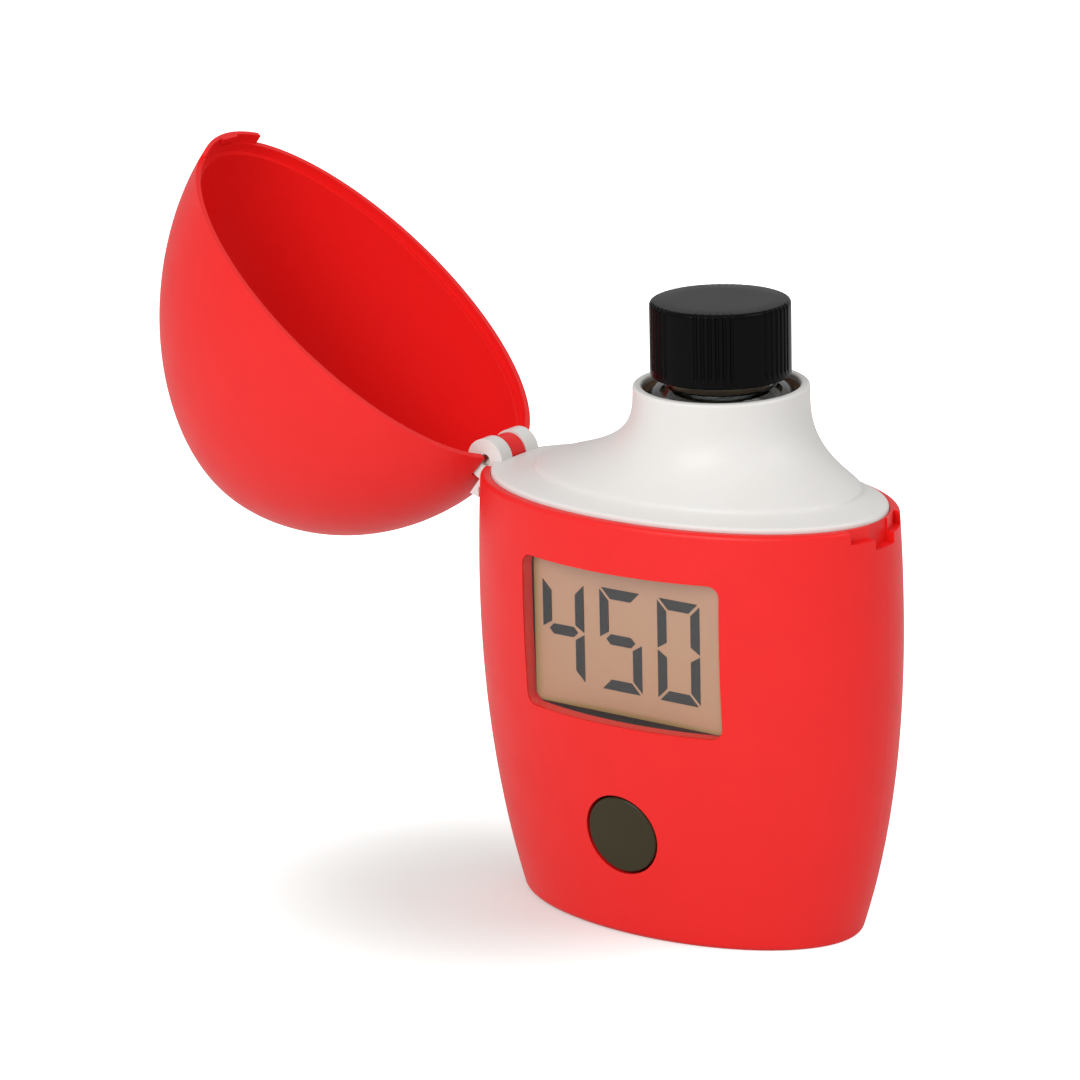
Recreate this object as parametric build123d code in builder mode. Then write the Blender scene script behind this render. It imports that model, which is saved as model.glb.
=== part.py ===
# Portable colorimeter: a palm size case with a hinged lid, a capped glass vial
# standing in a light-tight well, a display and one button.
# Front is -Y, the lid's hinge is at the -X end, the case stands on Z = 0 and the
# origin is the middle of its foot. The lid is drawn open on its stop. Millimetres.
import os
from math import cos, radians, sin

from build123d import *

os.makedirs("parts", exist_ok=True)

# Driving dimensions of the case
case_height = 56.2
foot_width = 49.6
foot_depth = 28.8
lower_width = 58.4
lower_depth = 34.0
widest_width = 61.0
widest_depth = 37.2
rim_width = 60.0
rim_depth = 36.5
case_wall = 2.0
floor_thickness = 2.0
foot_edge_radius = 1.0
rim_edge_radius = 0.6
inner_clearance = 0.3
overcut = 5.0

# Seat of the collar in the case rim
rim_land = 1.3
collar_seat_depth = 2.2
seat_clearance = 0.1
gasket_thickness = 0.4
gasket_width = 0.5

# Collar
collar_rise = 0.7
collar_edge_radius = 0.45
collar_wall = 1.5
collar_roof = 1.2
flare_power = 3.3
flare_steps = 9
neck_x = 3.5
neck_y = 3.0
neck_rise = 13.8
neck_radius = 11.3
neck_edge_radius = 0.35
mouth_radius = 10.1
mouth_lip = 0.8
boss_radius = 2.3
boss_drop = 7.8
boss_reach = 16.0

# Lid
lid_height = 36.6
lid_power_x = 1.85
lid_power_y = 2.2
lid_wall = 1.4
lid_seam = 0.2
lid_open_angle = 141.8
lid_lip = 0.75
lid_lip_depth = 1.4
lid_steps = 9
lid_last_angle = 88.5

# Hinge
hinge_inset = 0.8
hinge_rise = 0.6
ear_radius = 2.8
ear_width = 2.3
ear_root = 3.2
ear_web_top = 0.2
knuckle_radius = 2.5
knuckle_width = 3.0
knuckle_gap = 0.2
hinge_clearance = 0.3
hinge_notch_drop = 3.9
pin_radius = 0.8
pin_fit = 0.05
pin_recess = 0.4
stop_gap = 0.1
stop_top = 2.4
stop_reach = 5.4
stop_drop = 0.4
stop_side_gap = 0.4
stop_root = 1.2

# Catch at the free end of the lid
catch_notch_width = 11.4
catch_notch_depth = 1.7
catch_notch_wall = 0.85
catch_clearance = 0.3
catch_pocket_width = 4.2
catch_pocket_depth = 3.0
catch_nib_width = 3.0
catch_nib_height = 0.7
catch_nib_reach = 0.45

# Display
display_x = 0.8
display_drop = 16.6
window_width = 29.8
window_height = 20.2
window_corner = 1.5
window_clearance = 0.12
window_recess = 0.1
display_depth = 3.7
glass_clearance = 0.2
front_glass_thickness = 0.4
segment_thickness = 0.1
back_glass_thickness = 1.0
frame_border = 1.8
frame_lip = 1.2
strip_height = 1.6
strip_clearance = 0.1
digits = "450"
digit_width = 6.4
digit_height = 13.4
digit_pitch = 8.9
digit_stroke = 1.35
digit_gap = 0.3
digits_shift = -1.2

# Board behind the display
frame_depth = 4.5
board_thickness = 1.0
board_width = 43.0
board_above_display = 11.8
board_above_deck = 0.8
board_below_button = 5.8
board_tail_width = 20.0
chip_size = 7.0
chip_thickness = 1.6
chip_gap = 1.6
chip_drop = 6.6
crystal_radius = 1.0
crystal_length = 6.0
crystal_gap = 0.5
capacitor_count = 4
capacitor_size = 1.6
capacitor_pitch = 3.4
capacitor_drop = 8.0

# Button
button_x = 0.4
button_z = 14.4
button_radius = 5.15
button_clearance = 0.3
button_recess = 0.05
button_edge_radius = 0.3
button_flange_radius = 6.1
button_flange_depth = 4.1
button_flange_thickness = 0.9
button_travel = 0.5
switch_size = 6.2
switch_gap = 0.2
plunger_radius = 1.6
plunger_height = 0.4

# Well and optics
well_radius = 10.1
well_wall = 0.5
well_fit = 0.05
well_above_deck = 5.4
well_floor_thickness = 1.0
light_lift = 3.2
light_window_radius = 2.4
block_reach = 13.0
block_front = 8.0
block_back = 11.6
plate_gap = 0.2
plate_height = 4.2
plate_left = 24.2
plate_right = 18.5
plate_half_depth = 4.0
led_radius = 1.5
led_length = 2.2
led_edge_radius = 1.0
led_board_size = 9.0
led_board_thickness = 0.8
optic_clearance = 0.1
pocket_floor = 1.0
filter_radius = 4.9
filter_thickness = 1.5
detector_radius = 4.1
detector_length = 3.6
detector_flange_radius = 4.7
detector_flange = 0.6
detector_board_size = 11.0
detector_board_thickness = 1.0
housing_half = 6.8

# Vial, sample and cap
vial_radius = 9.75
vial_wall = 1.0
vial_floor = 1.5
vial_seat_gap = 0.2
vial_heel_radius = 0.8
shoulder_drop = 3.6
shoulder_height = 3.6
shoulder_bulge = 0.75
vial_neck_radius = 7.2
vial_neck_wall = 1.0
vial_stand = 9.0
sample_drop = 0.68
sample_gap = 0.02
cap_radius = 9.0
cap_skirt = 7.7
cap_roof = 1.2
cap_edge = 0.5
cap_ring = 0.9
cap_groups = 6
cap_ribs = 5
cap_rib_angle = 6.0
cap_first_group = -1.4
cap_groove_radius = 0.3
cap_groove_depth = 0.22
thread_fit = 0.06
liner_thickness = 0.5
liner_gap = 0.1

# Battery and its door
battery_radius = 5.25
battery_length = 44.5
battery_rise = 1.35
battery_edge_radius = 0.4
battery_nub_radius = 1.9
battery_nub_length = 0.8
battery_clearance = 0.1
door_width = 46.4
door_bottom = 3.0
door_top = 18.0
door_clearance = 0.15
door_screw_drop = 2.7
door_seat_depth = 1.8
door_boss_depth = 3.7
door_boss_radius = 2.2
door_tab_x = 9.5
door_tab_width = 4.0
door_tab_depth = 4.4
door_tab_thickness = 0.8
door_tab_overlap = 1.6
door_tab_relief = 0.4
contact_thickness = 0.3
contact_width = 6.0
contact_height = 6.0
contact_room = 0.5
contact_dimple_radius = 1.8

# Chassis and screws
deck_room = 2.15
deck_thickness = 1.6
deck_front = 7.5
end_wall_thickness = 0.9
end_wall_half_depth = 3.6
end_wall_bottom = 6.5
column_x = 14.0
column_inset = 6.6
column_radius = 2.2
saddle_width = 3.0
saddle_back = 4.0
saddle_height = 3.5
rear_boss_half_width = 3.2
rear_boss_gap = 0.75
rear_boss_height = 4.4
screw_radius = 1.0
screw_fit = 0.05
screw_head_radius = 1.9
screw_head_height = 1.2
screw_head_recess = 0.2
screw_slot_width = 0.5
screw_slot_depth = 0.5
case_screw_length = 9.0
door_screw_length = 8.0
block_screw_length = 5.0
block_screw_reach = 7.5
collar_screw_length = 8.4
post_left = 22.0
post_right = 16.0
post_rise = 2.2
post_radius = 1.8
board_screw_length = 5.0

# Heights worked out from those above
rim_z = case_height
seat_z = rim_z - collar_seat_depth
flange_bottom = seat_z + gasket_thickness
flange_top = rim_z + collar_rise
neck_top = rim_z + neck_rise
boss_bottom = rim_z - boss_drop
hinge_z = rim_z + hinge_rise
notch_floor = hinge_z - hinge_notch_drop
display_z = rim_z - display_drop
battery_z = floor_thickness + battery_rise + battery_radius
deck_bottom = battery_z + battery_radius + deck_room
deck_top = deck_bottom + deck_thickness
plate_top = boss_bottom - plate_gap
block_top = plate_top - plate_height
post_z = block_top + post_rise
light_z = (deck_top + block_top) / 2 + light_lift
sleeve_bottom = deck_top + well_above_deck
sleeve_top = neck_top - mouth_lip
well_floor_z = sleeve_bottom + well_floor_thickness
vial_bottom = well_floor_z + vial_seat_gap
shoulder_z = neck_top - shoulder_drop
shoulder_top = shoulder_z + shoulder_height
vial_top = neck_top + vial_stand
cap_bottom = vial_top - cap_skirt
cap_top = vial_top + 2 * liner_gap + liner_thickness + cap_roof
sample_bottom = vial_bottom + vial_floor + sample_gap
sample_top = shoulder_z - sample_drop
board_top = display_z + board_above_display
board_step = deck_top + board_above_deck
board_bottom = button_z - board_below_button
chip_z = display_z - chip_drop
capacitor_z = chip_z - capacitor_drop
door_height = door_top - door_bottom
door_middle_z = door_bottom + door_height / 2
door_screw_z = door_top - door_screw_drop
door_tab_bottom = floor_thickness + inner_clearance
door_tab_top = door_bottom + door_tab_overlap
door_tab_step = door_bottom + door_tab_relief

# Places from side to side
flange_a = rim_width / 2 - rim_land - seat_clearance
lid_a = rim_width / 2
hinge_x = hinge_inset - rim_width / 2
sleeve_radius = well_radius + well_wall
block_left = neck_x - block_reach
pocket_left = neck_x + sleeve_radius + pocket_floor
detector_left = pocket_left + filter_thickness + optic_clearance
detector_right = detector_left + detector_length
housing_right = detector_right + detector_flange
chip_x = block_left - chip_gap - chip_size / 2
crystal_x = chip_x - chip_size / 2 - crystal_gap - crystal_radius
battery_end = battery_length / 2
end_wall_x = battery_end + contact_room + contact_thickness
glass_width = window_width - 2 * glass_clearance
glass_height = window_height - 2 * glass_clearance

# Places from front to back
flange_b = rim_depth / 2 - rim_land - seat_clearance
lid_b = rim_depth / 2
hinge_half = knuckle_width / 2 + knuckle_gap + ear_width
ear_middle = hinge_half - ear_width / 2
display_glass_y = display_depth - widest_depth / 2
segments_y = display_glass_y + front_glass_thickness
back_glass_y = segments_y + segment_thickness
frame_y = back_glass_y + back_glass_thickness
board_front_y = frame_y + frame_depth
board_back_y = board_front_y + board_thickness
button_flange_y = button_flange_depth - lower_depth / 2
button_back_y = button_flange_y + button_flange_thickness
switch_height = board_front_y - button_back_y - button_travel - switch_gap - plunger_height
column_y = column_inset - foot_depth / 2
rear_boss_front = battery_radius + rear_boss_gap
door_seat_y = lower_depth / 2 - door_seat_depth
door_boss_y = lower_depth / 2 - door_boss_depth
door_tab_y = foot_depth / 2 - door_tab_depth

# The catch tab fills its notch but for a clearance
tab_thickness = catch_notch_wall - catch_clearance
tab_length = lid_seam + catch_notch_depth - catch_clearance

# Where the screws stand
boss_places = [(neck_x - boss_reach, neck_y), (neck_x + boss_reach, neck_y)]
block_screw_places = [
    (neck_x - block_screw_reach, neck_y),
    (neck_x + block_screw_reach, neck_y),
]
column_places = [(-column_x, column_y), (column_x, column_y)]
post_places = [(neck_x - post_left, post_z), (neck_x + post_right, post_z)]


# A vertical plane facing the front, at a given y
def facing(y):
    return Plane(origin=(0, y, 0), x_dir=(1, 0, 0), z_dir=(0, -1, 0))


# The upright axis that the neck, the well and the vial share
neck_axis = Axis((neck_x, neck_y, 0), (0, 0, 1))
neck_section = Plane(origin=(neck_x, neck_y, 0), x_dir=(1, 0, 0), z_dir=(0, -1, 0))
light_plane = Plane(origin=(0, neck_y, light_z), x_dir=(0, 1, 0), z_dir=(1, 0, 0))


# The barrel of the case, shrunk all round by an inset and carried up past the rim
def barrel(inset, over):
    with BuildPart() as solid:
        with BuildSketch(Plane.XY):
            Ellipse(foot_width / 2 - inset, foot_depth / 2 - inset)
        with BuildSketch(Plane.XY.offset(rim_z / 3)):
            Ellipse(lower_width / 2 - inset, lower_depth / 2 - inset)
        with BuildSketch(Plane.XY.offset(rim_z * 2 / 3)):
            Ellipse(widest_width / 2 - inset, widest_depth / 2 - inset)
        with BuildSketch(Plane.XY.offset(rim_z)):
            Ellipse(rim_width / 2 - inset, rim_depth / 2 - inset)
        loft()
        if over > 0:
            with BuildSketch(Plane.XY.offset(rim_z)):
                Ellipse(rim_width / 2 - inset, rim_depth / 2 - inset)
            extrude(amount=over)
    return solid.part


# The collar's shoulder and neck, shrunk by an inset and lowered by a drop
def flare(inset, drop):
    base_a = flange_a - collar_edge_radius - inset
    base_b = flange_b - collar_edge_radius - inset
    tip = neck_radius - inset
    with BuildPart() as solid:
        for step in range(flare_steps):
            along = step / (flare_steps - 1)
            spread = (1 - along) ** flare_power
            height = flange_top - drop + along * (neck_top - flange_top)
            centre = (neck_x * (1 - spread), neck_y * (1 - spread), height)
            with BuildSketch(Plane(centre)):
                Ellipse(tip + (base_a - tip) * spread, tip + (base_b - tip) * spread)
        loft()
    return solid.part


# The lid's own plane lies on its rim, swung open about the hinge from the closed place
swing = radians(lid_open_angle)
arm_x = -hinge_x
arm_z = rim_z + lid_seam - hinge_z
lid_plane = Plane(
    origin=(
        hinge_x + arm_x * cos(swing) - arm_z * sin(swing),
        0,
        hinge_z + arm_x * sin(swing) + arm_z * cos(swing),
    ),
    x_dir=(cos(swing), 0, sin(swing)),
    z_dir=(-sin(swing), 0, cos(swing)),
)
hinge_plane = Plane(origin=(hinge_x, 0, hinge_z), x_dir=(1, 0, 0), z_dir=(0, -1, 0))
lid_hinge_plane = Plane(
    origin=(hinge_x, 0, hinge_z), x_dir=(cos(swing), 0, sin(swing)), z_dir=(0, -1, 0)
)


# The lid's dome, shrunk all round by an inset, elliptical at every height
def dome(inset):
    with BuildPart() as solid:
        for step in range(lid_steps):
            rise = sin(radians(lid_last_angle * step / (lid_steps - 1)))
            half_x = (lid_a - inset) * (1 - rise**lid_power_x) ** (1 / lid_power_x)
            half_y = (lid_b - inset) * (1 - rise**lid_power_y) ** (1 / lid_power_y)
            with BuildSketch(lid_plane.offset(rise * (lid_height - inset))):
                Ellipse(half_x, half_y)
        loft()
    return solid.part


# A slotted screw: its shank runs from the origin along the normal, its head behind it
def screw(origin, normal, length):
    seat = Plane(origin=origin, z_dir=normal)
    with BuildPart() as fastener:
        with BuildSketch(seat):
            Circle(screw_radius)
        extrude(amount=length)
        with BuildSketch(seat):
            Circle(screw_head_radius)
        extrude(amount=-screw_head_height)
        with BuildSketch(seat.offset(-screw_head_height)):
            Rectangle(3 * screw_head_radius, screw_slot_width)
        extrude(amount=screw_slot_depth, mode=Mode.SUBTRACT)
    return fastener.part


# One bar of a digit, as a flat outline in the digit's own middle coordinates
def bar_points(name):
    x = digit_width / 2
    y = digit_height / 2
    t = digit_stroke
    g = digit_gap
    if name == "top" or name == "bottom":
        side = 1 if name == "top" else -1
        corners = [(g - x, y), (x - g, y), (x - t - g, y - t), (t + g - x, y - t)]
        return [(px, side * py) for px, py in corners]
    if name == "middle":
        tip = x - g - t / 2
        inner = x - g - t
        upper = [(-tip, 0), (-inner, t / 2), (inner, t / 2)]
        return upper + [(-px, -py) for px, py in upper]
    side_x = 1 if "right" in name else -1
    side_y = 1 if "upper" in name else -1
    corners = [(x, y - g), (x, g / 2), (x - t, t / 2 + g), (x - t, y - t - g)]
    return [(side_x * px, side_y * py) for px, py in corners]


digit_bars = {
    "4": ["upper left", "upper right", "middle", "lower right"],
    "5": ["top", "upper left", "middle", "lower right", "bottom"],
    "0": ["top", "upper left", "upper right", "lower left", "lower right", "bottom"],
}


outer_barrel = barrel(0, 0)
inner_barrel = barrel(case_wall, overcut)
fit_barrel = barrel(case_wall + inner_clearance, overcut)

# The room inside the case, above its floor
with BuildPart() as case_room:
    add(inner_barrel)
    with BuildSketch(Plane.XY.offset(floor_thickness)):
        Rectangle(2 * widest_width, 2 * widest_depth)
    extrude(amount=-2 * floor_thickness, mode=Mode.SUBTRACT)

# Case shell: one open-topped moulding with all its openings
with BuildPart() as body_shell:
    add(outer_barrel)
    foot_edges = body_shell.edges().group_by(Axis.Z)[0]
    rim_edges = body_shell.edges().group_by(Axis.Z)[-1]
    fillet(foot_edges, foot_edge_radius)
    fillet(rim_edges, rim_edge_radius)
    add(case_room.part, mode=Mode.SUBTRACT)
    with BuildSketch(Plane.XY.offset(seat_z)):
        Ellipse(rim_width / 2 - rim_land, rim_depth / 2 - rim_land)
    extrude(amount=collar_seat_depth + overcut, mode=Mode.SUBTRACT)
    with BuildSketch(facing(0)):
        with Locations((display_x, display_z)):
            RectangleRounded(window_width, window_height, window_corner)
        with Locations((button_x, button_z)):
            Circle(button_radius + button_clearance)
    extrude(amount=widest_depth, mode=Mode.SUBTRACT)
    with BuildSketch(facing(0)):
        with Locations((0, door_middle_z)):
            Rectangle(door_width, door_height)
    extrude(amount=-widest_depth, mode=Mode.SUBTRACT)
    with BuildSketch(Plane.XY.offset(notch_floor)):
        with Locations((-rim_width / 2, 0)):
            Rectangle(2 * ear_root, 2 * (hinge_half + hinge_clearance))
    extrude(amount=hinge_notch_drop + overcut, mode=Mode.SUBTRACT)
    with BuildSketch(Plane.XY.offset(rim_z - catch_notch_depth)):
        Ellipse(rim_width / 2 + overcut, rim_depth / 2 + overcut)
        Ellipse(
            rim_width / 2 - catch_notch_wall,
            rim_depth / 2 - catch_notch_wall,
            mode=Mode.SUBTRACT,
        )
        with Locations((rim_width / 2, 0)):
            Rectangle(rim_width / 2, catch_notch_width, mode=Mode.INTERSECT)
    extrude(amount=catch_notch_depth + overcut, mode=Mode.SUBTRACT)
    with BuildSketch(Plane.XY.offset(rim_z - catch_pocket_depth)):
        with Locations((rim_width / 2, 0)):
            Rectangle(2 * rim_land, catch_pocket_width)
    extrude(amount=catch_pocket_depth + overcut, mode=Mode.SUBTRACT)
    with BuildSketch(Plane.XY):
        with Locations(*column_places):
            Circle(screw_radius + screw_fit)
    extrude(amount=2 * floor_thickness, mode=Mode.SUBTRACT)
    with BuildSketch(Plane.XY):
        with Locations(*column_places):
            Circle(screw_head_radius + screw_fit)
    extrude(amount=screw_head_height + screw_head_recess, mode=Mode.SUBTRACT)
body_shell.part.label = "body_shell"
export_step(body_shell.part, "parts/body_shell.step")

# Battery door: the rear wall's missing piece, with a screw boss and two tongues
with BuildPart() as battery_door:
    add(outer_barrel)
    add(inner_barrel, mode=Mode.SUBTRACT)
    with BuildSketch(facing(0)):
        with Locations((0, door_middle_z)):
            Rectangle(door_width - 2 * door_clearance, door_height - 2 * door_clearance)
    extrude(amount=-widest_depth, mode=Mode.INTERSECT)
    with BuildSketch(facing(door_boss_y)):
        with Locations((0, door_screw_z)):
            Circle(door_boss_radius)
        with Locations((0, door_middle_z)):
            Rectangle(door_width, door_height - 2 * door_clearance, mode=Mode.INTERSECT)
    extrude(amount=door_boss_y - door_seat_y)
    with BuildSketch(facing(door_tab_y)):
        with Locations((-door_tab_x, door_tab_bottom), (door_tab_x, door_tab_bottom)):
            Rectangle(
                door_tab_width,
                door_tab_top - door_tab_bottom,
                align=(Align.CENTER, Align.MIN),
            )
    extrude(amount=-door_tab_thickness)
    with BuildSketch(facing(door_tab_y)):
        with Locations((-door_tab_x, door_tab_step), (door_tab_x, door_tab_step)):
            Rectangle(
                door_tab_width,
                door_tab_top - door_tab_step,
                align=(Align.CENTER, Align.MIN),
            )
    extrude(amount=-case_wall - door_tab_thickness)
    with BuildSketch(facing(0)):
        with Locations((0, door_screw_z)):
            Circle(screw_radius + screw_fit)
    extrude(amount=-widest_depth, mode=Mode.SUBTRACT)
    with BuildSketch(facing(door_seat_y)):
        with Locations((0, door_screw_z)):
            Circle(screw_head_radius + screw_fit)
    extrude(amount=-overcut, mode=Mode.SUBTRACT)
battery_door.part.label = "battery_door"
export_step(battery_door.part, "parts/battery_door.step")

# Gasket on the seat inside the rim, under the collar's flange
with BuildPart() as collar_gasket:
    with BuildSketch(Plane.XY.offset(seat_z)):
        Ellipse(flange_a, flange_b)
        Ellipse(flange_a - gasket_width, flange_b - gasket_width, mode=Mode.SUBTRACT)
        with Locations((-rim_width / 2, 0)):
            Rectangle(
                2 * ear_root, 2 * (hinge_half + hinge_clearance), mode=Mode.SUBTRACT
            )
    extrude(amount=gasket_thickness)
collar_gasket.part.label = "collar_gasket"
export_step(collar_gasket.part, "parts/collar_gasket.step")

# The hollow under the collar's shoulder, which leaves its screw bosses standing
with BuildPart() as collar_room:
    add(flare(collar_wall, collar_roof))
    with BuildSketch(Plane.XY.offset(flange_top - collar_roof)):
        Ellipse(
            flange_a - collar_edge_radius - collar_wall,
            flange_b - collar_edge_radius - collar_wall,
        )
    extrude(amount=-collar_seat_depth)
    with BuildSketch(Plane.XY.offset(boss_bottom)):
        with Locations(*boss_places):
            Circle(boss_radius)
    extrude(amount=neck_top - boss_bottom, mode=Mode.SUBTRACT)


# A place on the lid's outer face once open, out from the hinge pin by a reach
def stop_point(reach):
    side = -lid_a - hinge_x - stop_gap
    return (
        side * cos(swing) - reach * sin(swing),
        side * sin(swing) + reach * cos(swing),
    )


stop_side = -rim_width / 2 - stop_side_gap - hinge_x
stop_floor = seat_clearance - hinge_notch_drop

# Collar: flange, shoulder and neck in one, with the hinge ears and the lid's stops
with BuildPart() as collar:
    with BuildSketch(Plane.XY.offset(flange_bottom)):
        Ellipse(flange_a, flange_b)
    extrude(amount=flange_top - flange_bottom)
    fillet(collar.edges().group_by(Axis.Z)[-1], collar_edge_radius)
    add(flare(0, 0))
    add(collar_room.part, mode=Mode.SUBTRACT)
    with BuildSketch(Plane.XY.offset(flange_bottom)):
        with Locations((neck_x, neck_y)):
            Circle(sleeve_radius + well_fit)
    extrude(amount=sleeve_top - flange_bottom, mode=Mode.SUBTRACT)
    with BuildSketch(Plane.XY.offset(flange_bottom)):
        with Locations((neck_x, neck_y)):
            Circle(mouth_radius)
    extrude(amount=neck_top - flange_bottom + overcut, mode=Mode.SUBTRACT)
    fillet(collar.edges().group_by(Axis.Z)[-1], neck_edge_radius)
    with BuildSketch(hinge_plane):
        Circle(knuckle_radius + hinge_clearance)
    extrude(amount=knuckle_width / 2 + knuckle_gap, both=True, mode=Mode.SUBTRACT)
    for side in (-1, 1):
        with BuildSketch(hinge_plane.offset(side * ear_middle)):
            Circle(ear_radius)
            with Locations((0, ear_web_top)):
                Rectangle(
                    ear_root,
                    hinge_z + ear_web_top - flange_bottom,
                    align=(Align.MIN, Align.MAX),
                )
            with BuildLine():
                Polyline(
                    stop_point(stop_top),
                    stop_point(stop_reach),
                    (stop_side, stop_point(stop_reach)[1] - stop_drop),
                    (stop_side, stop_floor),
                    (stop_root, stop_floor),
                    (stop_root, flange_bottom - hinge_z + ear_web_top),
                    close=True,
                )
            make_face()
            Circle(pin_radius, mode=Mode.SUBTRACT)
        extrude(amount=ear_width / 2, both=True)
    with BuildSketch(Plane.XY.offset(boss_bottom)):
        with Locations(*boss_places):
            Circle(boss_radius)
    extrude(amount=flange_top - collar_roof - boss_bottom)
    with BuildSketch(Plane.XY.offset(boss_bottom)):
        with Locations(*boss_places):
            Circle(screw_radius + screw_fit)
    extrude(amount=collar_screw_length - plate_height + screw_fit, mode=Mode.SUBTRACT)
collar.part.label = "collar"
export_step(collar.part, "parts/collar.step")

# Hinge pin, held in the collar's ears and sunk a little below their outer faces
with BuildPart() as hinge_pin:
    with BuildSketch(hinge_plane):
        Circle(pin_radius)
    extrude(amount=hinge_half - pin_recess, both=True)
hinge_pin.part.label = "hinge_pin"
export_step(hinge_pin.part, "parts/hinge_pin.step")

# Lid: a thin dome with a rebated rim, a hinge knuckle and a catch tab with its nib
with BuildPart() as lid:
    add(dome(0))
    add(dome(lid_wall), mode=Mode.SUBTRACT)
    with BuildSketch(lid_plane):
        Ellipse(lid_a - lid_lip, lid_b - lid_lip)
    extrude(amount=lid_lip_depth, mode=Mode.SUBTRACT)
    for side in (-1, 1):
        with BuildSketch(lid_hinge_plane.offset(side * knuckle_width / 2)):
            Circle(ear_radius + hinge_clearance)
        extrude(
            amount=side * (hinge_half + hinge_clearance - knuckle_width / 2),
            mode=Mode.SUBTRACT,
        )
    with BuildSketch(lid_hinge_plane):
        Circle(knuckle_radius)
    extrude(amount=knuckle_width / 2, both=True)
    with BuildSketch(lid_hinge_plane):
        Circle(pin_radius + pin_fit)
    extrude(amount=knuckle_width, both=True, mode=Mode.SUBTRACT)
    with BuildSketch(lid_plane):
        Ellipse(lid_a, lid_b)
        Ellipse(lid_a - tab_thickness, lid_b - tab_thickness, mode=Mode.SUBTRACT)
        with Locations((lid_a, 0)):
            Rectangle(lid_a, catch_notch_width - 2 * catch_clearance, mode=Mode.INTERSECT)
    extrude(amount=-tab_length)
    with BuildSketch(lid_plane.offset(-tab_length)):
        with Locations((lid_a - tab_thickness, 0)):
            Rectangle(2 * catch_nib_reach, catch_nib_width)
    extrude(amount=catch_nib_height)
lid.part.label = "lid"
export_step(lid.part, "parts/lid.step")

# Display window: a clear lens, curved like the case in front and flat behind
with BuildPart() as display_window:
    add(barrel(window_recess, 0))
    with BuildSketch(facing(display_glass_y)):
        with Locations((display_x, display_z)):
            RectangleRounded(
                window_width - 2 * window_clearance,
                window_height - 2 * window_clearance,
                window_corner - window_clearance,
            )
    extrude(amount=widest_depth, mode=Mode.INTERSECT)
display_window.part.label = "display_window"
export_step(display_window.part, "parts/display_window.step")

# Front glass of the display cell
with BuildPart() as display_front_glass:
    with BuildSketch(facing(segments_y)):
        with Locations((display_x, display_z)):
            RectangleRounded(glass_width, glass_height, window_corner - glass_clearance)
    extrude(amount=front_glass_thickness)
display_front_glass.part.label = "display_front_glass"
export_step(display_front_glass.part, "parts/display_front_glass.step")

# The dark bars of the reading, between the two glasses
with BuildPart() as display_segments:
    with BuildSketch(facing(back_glass_y)):
        for place, character in enumerate(digits):
            column = place - (len(digits) - 1) / 2
            digit_x = display_x + digits_shift + column * digit_pitch
            with Locations((digit_x, display_z)):
                for name in digit_bars[character]:
                    Polygon(*bar_points(name), align=None)
    extrude(amount=segment_thickness)
display_segments.part.label = "display_segments"
export_step(display_segments.part, "parts/display_segments.step")

# Back glass of the display cell, with the tan reflector on it
with BuildPart() as display_back_glass:
    with BuildSketch(facing(frame_y)):
        with Locations((display_x, display_z)):
            RectangleRounded(glass_width, glass_height, window_corner - glass_clearance)
    extrude(amount=back_glass_thickness)
display_back_glass.part.label = "display_back_glass"
export_step(display_back_glass.part, "parts/display_back_glass.step")

# Frame that stands the display off its board
with BuildPart() as display_frame:
    with BuildSketch(facing(board_front_y)):
        with Locations((display_x, display_z)):
            Rectangle(glass_width + 2 * frame_border, glass_height + 2 * frame_border)
            Rectangle(
                glass_width - 2 * frame_lip,
                glass_height - frame_lip,
                mode=Mode.SUBTRACT,
            )
    extrude(amount=board_front_y - frame_y)
    add(fit_barrel, mode=Mode.INTERSECT)
display_frame.part.label = "display_frame"
export_step(display_frame.part, "parts/display_frame.step")

# Rubber strips that carry the contacts from the board to the back glass
with BuildPart() as contact_strips:
    with BuildSketch(facing(board_front_y)):
        for side in (-1, 1):
            strip_z = (glass_height - frame_lip - strip_height) / 2 - strip_clearance
            with Locations((display_x, display_z + side * strip_z)):
                Rectangle(glass_width - 2 * frame_lip - 2 * strip_clearance, strip_height)
    extrude(amount=board_front_y - frame_y)
contact_strips.part.label = "contact_strips"
export_step(contact_strips.part, "parts/contact_strips.step")

# Main board: a wide part behind the display and a tail behind the button
with BuildPart() as main_board:
    with BuildSketch(facing(board_back_y)):
        with Locations((0, board_step)):
            Rectangle(board_width, board_top - board_step, align=(Align.CENTER, Align.MIN))
        with Locations((0, board_bottom)):
            Rectangle(
                board_tail_width,
                board_step - board_bottom,
                align=(Align.CENTER, Align.MIN),
            )
        with Locations(*post_places):
            Circle(screw_radius + screw_fit, mode=Mode.SUBTRACT)
    extrude(amount=board_thickness)
main_board.part.label = "main_board"
export_step(main_board.part, "parts/main_board.step")

# Microcontroller on the back of the board, its edges chamfered as moulded
with BuildPart() as microcontroller:
    with BuildSketch(facing(board_back_y)):
        with Locations((chip_x, chip_z)):
            Rectangle(chip_size, chip_size)
    extrude(amount=-chip_thickness)
    chamfer(microcontroller.edges().group_by(Axis.Y)[-1], chip_thickness / 6)
microcontroller.part.label = "microcontroller"
export_step(microcontroller.part, "parts/microcontroller.step")

# Timing crystal beside the microcontroller
with BuildPart() as crystal:
    with BuildSketch(Plane.XY.offset(chip_z - crystal_length / 2)):
        with Locations((crystal_x, board_back_y + crystal_radius)):
            Circle(crystal_radius)
    extrude(amount=crystal_length)
crystal.part.label = "crystal"
export_step(crystal.part, "parts/crystal.step")

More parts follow.
